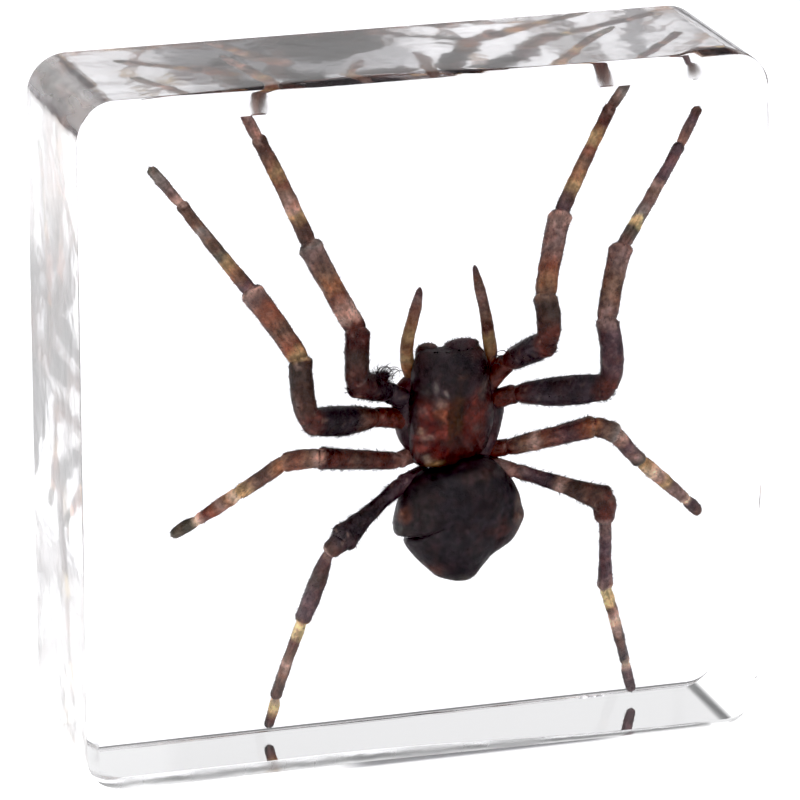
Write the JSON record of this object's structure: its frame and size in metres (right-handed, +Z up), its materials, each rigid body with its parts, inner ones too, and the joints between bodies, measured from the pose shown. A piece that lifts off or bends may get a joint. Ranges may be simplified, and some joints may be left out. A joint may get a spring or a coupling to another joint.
{
  "type": "spider in resin block",
  "caption": "Dried hairy spider with its legs spread, cast in a clear square resin slab with rounded corners that stands on its narrow bottom face.",
  "frame": {"origin": "middle of the narrow bottom face that the block rests on", "axes": "+Z up, along the spider's body towards its head; the big face that shows the spider's back looks along -Y; +X to the right as seen from that side"},
  "size_m": [0.075, 0.022, 0.075],
  "materials": {
    "dried_cuticle": "dry, finely hairy, near-black body and thighs, legs banded in tan and mauve-brown",
    "clear_resin": "cast clear and polished all over"
  },
  "bodies": {
    "root": {"spider": "dried_cuticle", "resin_front": "clear_resin", "resin_back": "clear_resin"}
  },
  "joints": []
}
